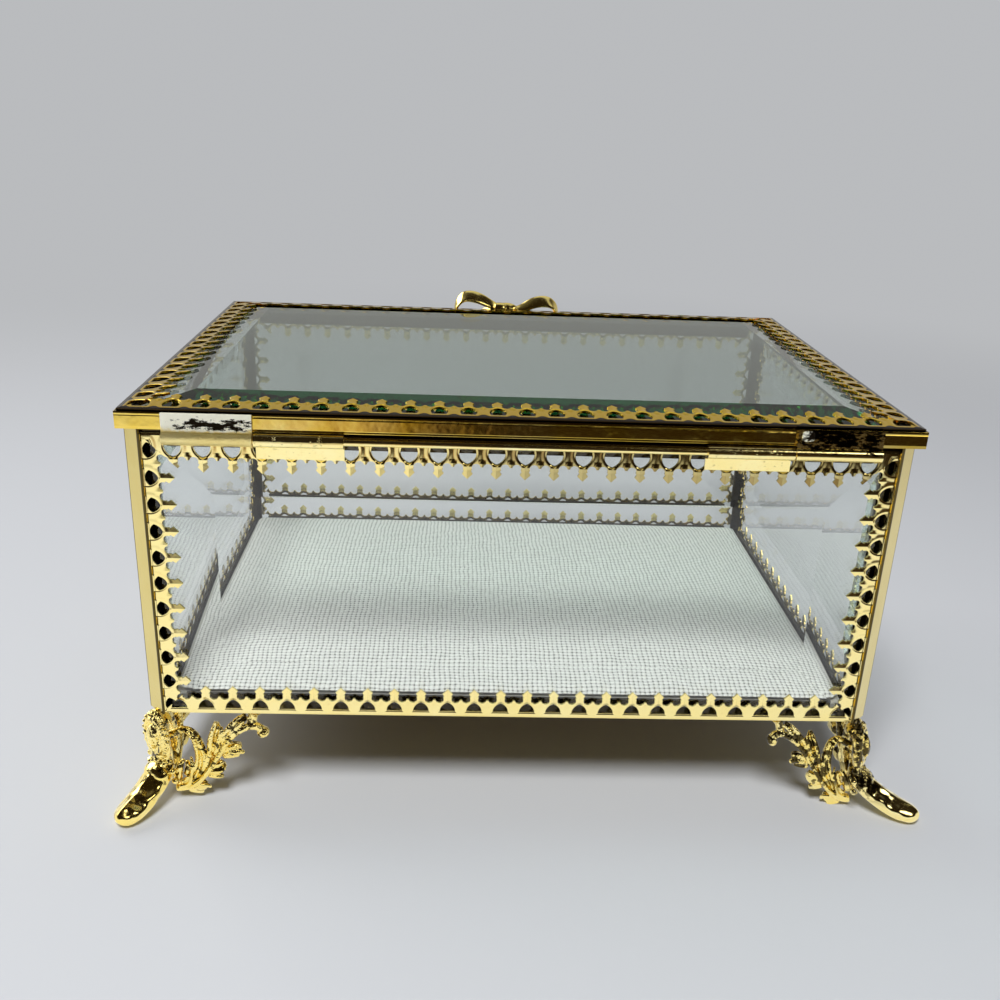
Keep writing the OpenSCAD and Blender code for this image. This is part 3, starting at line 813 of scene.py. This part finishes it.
# Strands of one wing: inwards from the corner, down from the rail, outwards, radius (mm)
wing = {
    "ring": [(1.6, 6.2, -.2, .8), (3.2, 5, 0, .75), (4.6, 4.2, .2, .7), (5.9, 4.1, .3, .7),
             (7.0, 5.1, .2, .75), (7.7, 7.0, .1, .85), (8.1, 9.2, -.1, .9), (7.9, 11.5, -.2, .95),
             (7.0, 13.8, -.2, .95), (5.6, 15.4, -.1, .9), (3.9, 16.2, 0, .8)],
    "ringFold": [(5.6, 4.2, .8, .3), (6.8, 5.2, .95, .4), (7.3, 7.2, 1, .4), (7.5, 9.6, 1, .4),
                 (7, 12.2, .9, .38), (5.8, 14.6, .8, .3)],
    "ringFoldOut": [(7.4, 5.4, .5, .25), (8.2, 7.4, .7, .38), (8.7, 9.8, .7, .38),
                    (8.3, 12.2, .7, .35), (7.2, 14.2, .6, .3)],
    "innerBud": [(3.5, 14.4, .7, .8), (4, 12.2, 1, .7), (4.4, 10.8, 1.1, .55), (5, 10.2, .8, .3)],
    "innerBudBack": [(5.2, 13.8, .2, .7), (5.5, 12, .3, .6), (5.3, 10.8, .3, .35)],
    "outerBud": [(5.8, 14.8, .9, .5), (6.3, 12.8, 1.1, .5), (6.4, 11, 1, .4), (6.2, 9.7, .7, .2)],
    "cup": [(3.8, 15.9, 1.1, .38), (5.2, 15.6, 1.3, .38), (6.1, 14.4, 1.4, .33), (6.3, 13, 1.3, .22)],
    "cupInner": [(4.3, 14.9, 1.1, .3), (5.1, 14.6, 1.2, .32), (5.5, 13.6, 1.2, .25)],
    "foldBase": [(5.8, 15.6, -.6, .8), (8, 13.2, -.6, .95), (9.4, 10.6, -.6, 1),
                 (10.2, 8.4, -.5, .8), (10.5, 7, -.5, .35)],
    "foldMid": [(7.4, 14.4, .5, .4), (8.9, 12, .6, .42), (9.5, 9.8, .6, .38), (9.3, 8, .5, .2)],
    "rib": [(3.2, 16.6, .3, .9), (5, 16.4, .6, .8), (6.8, 15.5, .9, .62), (8.4, 13.8, 1.1, .55),
            (9.8, 11.6, 1.2, .5), (11.4, 9.05, 1.2, .5), (12.7, 6.7, 1.1, .52), (14.1, 4.7, 1, .58),
            (16.2, 3.2, .8, .7), (17.9, 2.8, .6, .78), (19.1, 3.3, .5, .78), (19.8, 4.3, .4, .7)],
    "joint": [(17.5, 2.8, .1, 1), (17.7, 1.4, 0, .8), (17.9, .5, -.1, 1.2), (18, .2, -.1, 1.4)],
    "tallLeafLeft": [(9.6, 9.6, .5, .5), (9.8, 7.2, .9, .5), (10.2, 4.8, .9, .42), (11.1, 2.3, .4, .28)],
    "tallLeafMid": [(10.2, 9.4, -.3, .8), (10.9, 7, -.2, .8), (11.4, 4.6, -.1, .6), (11.2, 2.6, 0, .25)],
    "tallLeafRight": [(10.8, 8.6, .7, .45), (11.4, 6.4, 1, .45), (11.9, 4.4, .9, .38), (12.1, 3.2, .6, .22)],
    "endLeafLeft": [(12, 6.6, .6, .42), (12.7, 4.4, .9, .42), (13.9, 2.6, .8, .4), (15.5, 1.1, .4, .28)],
    "endLeafMid": [(12.6, 6.4, -.2, .7), (13.8, 4, -.1, .75), (15.1, 2.2, -.1, .6), (16.3, .9, 0, .3)],
    "endLeafRight": [(13.5, 5, .7, .35), (14.5, 3.4, .95, .38), (15.9, 2.1, .8, .33), (16.8, 1.3, .4, .2)],
    "lobeA": [(11.6, 9.6, -.2, .6), (12.6, 8.9, -.3, .95), (13.8, 8.5, -.5, 1.15), (15, 8.8, -.8, .9)],
    "lobeATop": [(12.2, 8.4, .2, .4), (13.3, 7.6, .4, .42), (14.6, 7.5, .1, .4), (15.2, 8, -.2, .3)],
    "lobeAMid": [(12.2, 9.2, .4, .3), (13.6, 8.7, .6, .36), (15, 8.8, .2, .38), (15.7, 9.2, -.2, .3)],
    "lobeALow": [(12, 10, .1, .32), (13.6, 9.8, .2, .36), (14.8, 9.7, -.2, .3)],
    "lobeB": [(9, 13.2, -.2, .7), (10, 13, -.4, 1.1), (10.9, 12.8, -.6, 1.25), (11.3, 13.4, -.8, .9)],
    "lobeBTop": [(9.6, 12.2, .3, .38), (10.8, 11.6, .3, .45), (11.7, 11.2, -.1, .38)],
    "lobeBMid": [(9.4, 13.2, .5, .32), (10.6, 12.8, .5, .4), (11.8, 12.9, .1, .35)],
    "lobeBLow": [(9, 14, .2, .38), (10.4, 14.3, .2, .45), (11.7, 14.5, -.2, .35)],
    "lobeC": [(5, 16.9, -.1, .6), (6.4, 16.7, -.2, .9), (7.6, 16.6, -.3, .95), (8.4, 16.9, -.5, .6)],
    "lobeCTop": [(6, 16.2, .4, .32), (7.4, 16, .5, .36), (8.8, 16.4, .1, .32), (9.2, 17, -.1, .22)],
    "lobeCLow": [(5.4, 17.4, .2, .3), (6.8, 17.6, .3, .38), (7.9, 17.8, 0, .28)],
}

# The toe: out along the diagonal, height of its middle, half width, half height (mm)
toe = {
    "sections": [(-3, 7.6, 2.0, 2.0), (-1.2, 6.6, 2.6, 2.5), (1, 5.1, 2.85, 2.4), (3.4, 3.6, 2.9, 2.2),
                 (5.8, 2.55, 2.85, 2.0), (7.8, 2.15, 2.6, 1.9), (9.2, 2.0, 2.0, 1.6), (10.0, 1.95, 1.1, 1.0),
                 (10.3, 1.95, .35, .35)],
    # across and up, as shares of the half sizes: ridge, facets, side bands, sole
    "outline": [(0, 1), (.10, .95), (.78, .46), (.94, .22), (1, -.12), (.88, -.8), (.5, -1), (-.5, -1),
                (-.88, -.8), (-1, -.12), (-.94, .22), (-.78, .46), (-.10, .95)],
}

foot = {
    "height": sizeOf("foot_rear_right")[1][2],
    "leafSwell": 1.25,
    "wingBack": 1.1,  # from the wall's face back to the middle of a wing
    "curl": (19.5, 4.4, 0.3, 1.15),  # the ball at a wing's end: inwards, down, outwards, radius
    # out, down, half thickness, half width, half height
    "shield": (-0.8, 6.0, 1.1, 3.2, 6.2),
    "head": (-1.9, 1.9, 1.3, 2.6, 1.0),
    "cabochon": (0.2, 5.0, 1.1, 1.3, 2.6),
    "boss": (0.1, 13.2, 1.9, 2.9, 2.6),
    "collar": (0.0, 5.0, 2.35, 3.6, 0.36),  # out, down, half width, half height, radius
    "collarSteps": 20,
    "beads": 20,
    "beadRadius": 0.4,
    "beadRing": (-0.35, 0.75, 0.7),  # out, and how much wider and higher than the collar
    "rosette": (1.3, 13.2),  # out, down
    "petals": 6,
    "petalRing": 1.25,
    "petalRadius": 0.62,
    "setBack": 0.1,
    "buds": [(-2.6, 10), (2.6, 10), (-1.5, 10.8), (1.5, 10.8), (0, 10.1),  # across, down
             (-3.4, 14), (3.4, 14), (-3, 12), (3, 12)],
    "budSlope": 0.3,
    "shieldTurn": 0.7,  # how much of the toe's turn the shield follows
    # each foot: direction in X and Y, turn of the toe (degrees), stretch of the toe, width and height
    # of the wings, and how far it leans out along X (mm for each mm down)
    "stands": {
        "rear_right": (1, 1, -14, 0.98, (1, 1), 0),
        "rear_left": (-1, 1, 16, 0.98, (0.88, 1.06), 0.17),
        "front_left": (-1, -1, 0, 1.06, (0.97, 1), 0.02),
        "front_right": (1, -1, 3, 1.04, (0.96, 1.02), 0.03),
    },
}


def diagonal(out, across, down):
    # a place by the upright plane along the corner's diagonal, which points to (+X, +Y)
    share = math.sqrt(0.5)
    return Vector((share * (out + across), share * (out - across), foot["height"] - down)) * mm


def makeWings():
    def place(point):
        return Vector((-point[0], point[2] - foot["wingBack"], foot["height"] - point[1])) * mm
    strands = []
    for name, points in wing.items():
        swell = foot["leafSwell"] if "eaf" in name or "lobe" in name else 1
        strands.append(stroke([(*point[:3], point[3] * swell) for point in points], place))
    strands.append(ball(place(foot["curl"]), [foot["curl"][3] * mm] * 3))
    along = joined(strands, "wing")
    across = twin(along, "wingAcross")
    across.data.transform(Matrix(((0, 1, 0, 0), (1, 0, 0, 0), (0, 0, 1, 0), (0, 0, 0, 1))))
    across.data.flip_normals()
    return joined([along, across], "wings")


def shieldBall(out, down, thick, width, height):
    return ball(diagonal(out, 0, down), (thick * mm, width * mm, height * mm), math.pi / 4)


def makeShield():
    pieces = [shieldBall(*foot[name]) for name in ("shield", "head", "cabochon", "boss")]
    out, down, width, height, radius = foot["collar"]
    turns = [2 * math.pi * step / foot["collarSteps"] for step in range(foot["collarSteps"] + 1)]
    ring = [(width * math.sin(turn), down + height * math.cos(turn), out, radius) for turn in turns]
    pieces.append(stroke(ring, lambda point: diagonal(point[2], point[0], point[1])))
    further, wider, higher = foot["beadRing"]
    for bead in range(foot["beads"]):
        turn = 2 * math.pi * (bead + 0.5) / foot["beads"]
        across, up = (width + wider) * math.sin(turn), (height + higher) * math.cos(turn)
        pieces.append(ball(diagonal(out + further, across, down + up), [foot["beadRadius"] * mm] * 3))
    out, down = foot["rosette"]
    petal = [foot["petalRadius"] * mm] * 3
    pieces.append(ball(diagonal(out, 0, down), petal))
    for number in range(foot["petals"]):
        turn = 2 * math.pi * number / foot["petals"]
        across, up = (foot["petalRing"] * part(turn) for part in (math.cos, math.sin))
        pieces.append(ball(diagonal(out - foot["setBack"], across, down + up), petal))
    for across, down in foot["buds"]:
        pieces.append(ball(diagonal(-foot["setBack"] - abs(across) * foot["budSlope"], across, down), petal))
    return joined(pieces, "shield")


def makeToe():
    share = math.sqrt(0.5)
    wide, tall = Vector((share, -share, 0)) * mm, Vector((0, 0, 1)) * mm
    sections = [
        (diagonal(out, 0, foot["height"] - high), wide * halfWide, tall * halfTall)
        for out, high, halfWide, halfTall in toe["sections"]
    ]
    return rounded(drawnThrough(toe["outline"], sections))


def turned(degrees):
    return Matrix.Rotation(math.radians(degrees), 4, "Z")


def makeFeet(finish):
    wings, shield, point = makeWings(), makeShield(), makeToe()
    top = Matrix.Translation((0, 0, foot["height"] * mm))
    for name, (signX, signY, turn, stretch, (wide, high), lean) in foot["stands"].items():
        parts = [twin(piece, "part") for piece in (wings, shield, point)]
        parts[0].data.transform(top @ Matrix.Diagonal((wide, wide, high, 1)) @ top.inverted())
        parts[1].data.transform(turned(-turn * foot["shieldTurn"]))
        parts[2].data.transform(turned(-turn) @ turned(45) @ Matrix.Diagonal((stretch, 1, 1, 1)) @ turned(-45))
        casting = melted(parts, "cast_foot_" + name)
        leaning = Matrix(((1, 0, -lean, 0), (0, 1, 0, 0), (0, 0, 1, 0), (0, 0, 0, 1)))
        corner = Matrix.Translation((signX * case["halfLong"] * mm, signY * case["halfDeep"] * mm, 0))
        mirrored = Matrix.Diagonal((signX, signY, 1, 1))
        casting.data.transform(corner @ mirrored @ top @ leaning @ top.inverted())
        outwards(casting)
        finished(casting, finish)
        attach(casting, "case")
        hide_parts("foot_" + name)
        print("foot", name, len(casting.data.polygons), "faces")
    for piece in (wings, shield, point):
        bpy.data.objects.remove(piece)


# The bow is bent from flat ribbon: place (x, y, z), half width, half thickness (mm), tilt (degrees)
bow = {
    "leftLoop": [
        (12.3, -45.3, 75.6, 1.2, .35, 20), (12.0, -45.7, 76.6, 1.4, .4, 25),
        (11.3, -46.1, 77.8, 1.6, .45, 34), (10.2, -46.4, 78.7, 1.75, .45, 42),
        (8.6, -46.5, 78.75, 1.75, .45, 45), (6.6, -46.5, 78.3, 1.65, .45, 45),
        (4.7, -46.4, 77.4, 1.45, .45, 44), (3, -46.2, 76.5, 1.2, .5, 40), (1, -46.1, 76.2, .9, .5, 30),
    ],
    "rightLoop": [
        (-12.4, -45.3, 75.1, 1.2, .35, 20), (-12.2, -45.7, 76, 1.4, .4, 25),
        (-11.6, -46.1, 77.1, 1.6, .45, 34), (-10.4, -46.4, 77.9, 1.75, .45, 42),
        (-8.6, -46.5, 78.05, 1.75, .45, 45), (-6.6, -46.5, 77.6, 1.65, .45, 45),
        (-4.9, -46.4, 76.7, 1.45, .45, 44), (-3.4, -46.2, 75.9, 1.2, .5, 40), (-1, -46.1, 75.7, .9, .5, 30),
    ],
    "knot": [
        (3, -46, 75.65, .9, .5, 40), (1.4, -46, 76.35, 1.2, .6, 42), (0, -46, 76.55, 1.2, .65, 42),
        (-1.5, -46, 76.35, 1.1, .6, 42), (-2.7, -46, 75.75, .9, .5, 38),
    ],
    "leftTail": [
        (1.6, -46.6, 76.4, .9, .4, 10), (3.4, -47.2, 76, 1.1, .4, 25),
        (5.6, -47.4, 74.6, 1.3, .35, 60), (7.2, -47.3, 72.2, 1.5, .3, 80),
    ],
    "rightTail": [
        (-1.6, -46.6, 76.2, .9, .4, 10), (-3.4, -47.2, 75.8, 1.1, .4, 25),
        (-5.6, -47.4, 74.4, 1.3, .35, 60), (-7.2, -47.3, 72, 1.5, .3, 80),
    ],
    # the tab's width lies along X instead of being tilted
    "tab": [
        (1.6, -44.9, 75.4, 1.3, .5, None), (1.6, -45.0, 76.4, 1.35, .5, None),
        (1.6, -45.6, 77.1, 1.3, .45, None), (1.6, -46.8, 77.1, 1.2, .45, None),
    ],
    "drop": ((-2.2, -45.0, 76.2), 0.55),
    "outline": [(1, .55), (.7, 1), (-.7, 1), (-1, .55), (-1, -.55), (-.7, -1), (.7, -1), (1, -.55)],
}


def bentRibbon(points):
    sections = []
    for number, (x, y, z, width, thick, tilt) in enumerate(points):
        before, after = points[max(0, number - 1)], points[min(len(points) - 1, number + 1)]
        along = Vector([b - a for a, b in zip(before[:3], after[:3])]).normalized()
        across = Vector((1, 0, 0))
        if tilt is not None:
            across = Vector((0, math.cos(math.radians(tilt)), -math.sin(math.radians(tilt))))
            across = (across - along * across.dot(along)).normalized()
        up = along.cross(across).normalized()
        sections.append((Vector((x, y, z)) * mm, across * width * mm, up * thick * mm))
    return rounded(drawnThrough(bow["outline"], sections))


def makeBow(finish):
    names = ("leftLoop", "rightLoop", "knot", "leftTail", "rightTail", "tab")
    pieces = [bentRibbon(bow[name]) for name in names]
    spot, radius = bow["drop"]
    pieces.append(ball(Vector(spot) * mm, [radius * mm] * 3))
    ribbon = melted(pieces, "bow_ribbon")
    finished(ribbon, finish)
    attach(ribbon, "lid")
    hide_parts("thumb_bow")
    print("bow", len(ribbon.data.polygons), "faces")


cushion = {
    "shrink": 0.25,  # from the solid's sides before it swells
    "edge": 0.5,  # radius of its edges before it swells
    "cloth": 1.0,  # size of the cloth's squares
    "size": 12,  # the cloth is worked out this many times larger
    "pressure": 4,
    "frames": 20,
    "most": 0.3,  # how far a point may move (mm)
    "crown": 3.4,  # how much lower the pad starts than the solid
    "crownShare": 0.85,  # how much of that its middle gains again
    "crownPower": (5, 4),  # how flat it stays along and across
    "waist": 0.25,  # how far the sides pull in between the corners
    "waistPower": (6, 4),
    "edgeSteps": 4,
}


def swollen(pad):
    # the shape that the pad takes as sewn cloth under pressure
    low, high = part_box("cushion")
    start = [vertex.co.copy() for vertex in pad.data.vertices]
    pad.data.transform(Matrix.Scale(cushion["size"], 4))
    cloth = pad.modifiers.new("cloth", "CLOTH")
    cloth.settings.use_pressure = True
    cloth.settings.uniform_pressure_force = cushion["pressure"]
    cloth.settings.effector_weights.gravity = 0
    for step in range(1, cushion["frames"] + 1):
        bpy.context.scene.frame_set(step)
    pick(pad)
    bpy.ops.object.modifier_apply(modifier="cloth")
    bpy.context.scene.frame_set(1)
    pad.data.transform(Matrix.Scale(1 / cushion["size"], 4))
    most = cushion["most"] * mm
    for vertex, place in zip(pad.data.vertices, start):
        move = vertex.co - place
        if move.length > most:
            move *= most / move.length
        spot = place + move
        vertex.co = [min(max(c, l), h) for c, l, h in zip(spot, low, high)]


def makeCushion(finish):
    low, high = (Vector(corner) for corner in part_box("cushion"))
    size, middle = high - low, (low + high) / 2
    bpy.ops.mesh.primitive_cube_add(size=1, location=middle)
    pad = bpy.context.object
    pad.name = "linen_cushion"
    shrink = cushion["shrink"] * mm
    pad.scale = (size.x - 2 * shrink, size.y - 2 * shrink, size.z - cushion["crown"] * mm)
    settle(pad)
    pad.data.transform(Matrix.Translation((0, 0, -cushion["crown"] * mm / 2)))
    modify(pad, "BEVEL", width=cushion["edge"] * mm, segments=cushion["edgeSteps"], limit_method="NONE")
    modify(pad, "REMESH", mode="VOXEL", voxel_size=cushion["cloth"] * mm)
    heights = [vertex.co.z for vertex in pad.data.vertices]
    sole, top = min(heights), max(heights)
    crown, pull = cushion["crown"] * cushion["crownShare"] * mm, cushion["waist"] * mm
    crownAlong, crownAcross = cushion["crownPower"]
    waistOut, waistAlong = cushion["waistPower"]
    for vertex in pad.data.vertices:
        along, across = (2 * (vertex.co - middle).x / size.x, 2 * (vertex.co - middle).y / size.y)
        lift = crown * (vertex.co.z - sole) / (top - sole)
        vertex.co.z += lift * (1 - min(abs(along), 1) ** crownAlong) * (1 - min(abs(across), 1) ** crownAcross)
        vertex.co.x -= math.copysign(pull, along) * abs(along) ** waistOut * (1 - across ** waistAlong)
        vertex.co.y -= math.copysign(pull, across) * abs(across) ** waistOut * (1 - along ** waistAlong)
    swollen(pad)
    finished(softened(rounded(pad, 1)), finish)
    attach(pad, "case")
    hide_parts("cushion")


def dress(starts, finish):
    # the solids whose names start so
    for name, piece in nodes.items():
        if name.startswith(starts):
            finished(piece, finish)


# How each strip is laid: how much of its soldered edge is cut off, how wide the plain edge stays,
# how high its stamping stands, and where along it the middle of a heart lies (mm)
laid = {
    "top": (0, 1.2, 1, 0),
    "bottom": (1.25, 2.25, 0.7, -2.4),
    "sides": (1.3, 1.9, 0.5, 68.7),
    "lid": (0, 1.2, 0.4, 0),
    "lidEnds": (0, 1.2, 0.6, 0),
    "lean": 6.5,  # on the slope of the lid's bevel, about the strips' outer edges (degrees)
}


def laidStrip(name, along, reach):
    cut, flat, raised, heart = laid[name]
    return stripRelief(lambda *spot: along(*spot) - heart, lambda *spot: reach(*spot) + cut, flat, raised)


def makeStrips():
    for side in sides:
        end = side in ends
        lidEdge = sizeOf("lid_gallery_right")[1][0] if end else sizeOf("lid_gallery_rear")[1][1]
        lowEdge, highEdge = sizeOf("gallery_bottom_" + side)[0][2], sizeOf("gallery_top_" + side)[1][2]
        sideEdge = sizeOf("gallery_sides_" + side)[1][1 if end else 0]

        def along(x, y, z):
            return y if end else x

        def upward(x, y, z):
            return z

        def fromLidEdge(x, y, z):
            return lidEdge - abs(x if end else y)

        top = laidStrip("top", along, lambda x, y, z: highEdge - z)
        bottom = laidStrip("bottom", along, lambda x, y, z: z - lowEdge)
        upright = laidStrip("sides", upward, lambda x, y, z: sideEdge - abs(along(x, y, z)))
        lid = laidStrip("lidEnds" if end else "lid", along, fromLidEdge)
        shade = paintedTopShade if side == "rear" else None
        groove = paintedGrooveShade(along, fromLidEdge)
        dress("gallery_top_" + side, giltMetal("topStrip_" + side, relief=top, dark=shade))
        dress("gallery_bottom_" + side, giltMetal("bottomStrip_" + side, relief=bottom))
        dress("gallery_sides_" + side, giltMetal("sideStrip_" + side, relief=upright))
        shadedOchre = giltMetal("lidStrip_" + side, gilt["shadedOchre"], 0.05, relief=lid, dark=groove)
        dress("lid_gallery_" + side, shadedOchre)
        leanStrip(side)


def standIn(node, name, body):
    # a copy of a solid's form that can be given a finer shape
    piece = bpy.data.objects.new(name, nodes[node].data.copy())
    bpy.context.scene.collection.objects.link(piece)
    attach(piece, body)
    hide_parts(node)
    return piece


def leanStrip(side):
    node = "lid_gallery_" + side
    low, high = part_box(node)
    strip = standIn(node, "lid_strip_" + side, "lid")
    end = side in ends
    outer = high if side in ("rear", "right") else low
    edge = Vector((outer.x if end else 0, 0 if end else outer.y, low.z))
    turn = math.radians(laid["lean"]) * (1 if side in ("right", "front") else -1)
    lean = Matrix.Rotation(turn, 4, "Y" if end else "X")
    strip.data.transform(Matrix.Translation(edge) @ lean @ Matrix.Translation(-edge))


def makeLidPane():
    # the plate's upper face stands a little higher, so that the bevel is as steep as the strips
    pane = standIn("lid_glass", "lid_pane", "lid")
    low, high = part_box("lid_glass")
    for vertex in pane.data.vertices:
        if vertex.co.z > high.z - plateGlass["plateauSkin"] * mm:
            vertex.co.z += plateGlass["plateauRise"] * mm


makeCamera()
makeLamps()
makeFloor()
makeWorld()
print("camera, lights and floor are in place")

makeStrips()
dress(("bottom_rail", "top_rail", "stiles"), giltMetal("railGilt", dark=paintedHollowShade))
dress("corner_strip", giltMetal("postGilt", gilt["shadedPostColour"], 0.2, dark=paintedPostShade))
dress("lid_rail", giltMetal("rimGilt", gilt["shadedOchre"], relief=rimRelief, dark=paintedRimShade))
dress("hinge_lid_leaf_right", giltMetal("solderedLeaf", wear=solderWear(*solder["right"])))
dress("hinge_lid_leaf_left", giltMetal("scorchedLeaf", wear=solderWear(*solder["left"])))
dress("hinge_case_leaf", giltMetal("leafGilt", pale=0.8, relief=leafRelief))
dress("hinge_pin", giltMetal("pinGilt", pale=1))
dress("base_plate", giltMetal("plateGilt", gilt["darkPlateColour"], 0, 0.4))
makeFeet(giltMetal("castGilt", gilt["rich"], 0.9, relief=castRelief, dark=paintedCastShade))
makeBow(giltMetal("bowGilt", gilt["rich"], 0.2))
print("feet, bow and brass finishes are in place")

dress("glass_", clearGlass("wallGlass", plateGlass["wallDensity"], plateGlass["wallColour"]))
dress("lid_glass", clearGlass("lidGlass", plateGlass["lidDensity"], plateGlass["lidShadeColour"]))
makeLidPane()
dress("cushion_card", cardBoard())
makeCushion(linenCloth())
print("glass, card and cushion are in place")

scene = bpy.context.scene
scene.view_settings.view_transform = "Standard"
bounces = {"max_bounces": 40, "glossy_bounces": 40, "transmission_bounces": 40, "transparent_max_bounces": 24}
for kind, most in bounces.items():
    setattr(scene.cycles, kind, most)
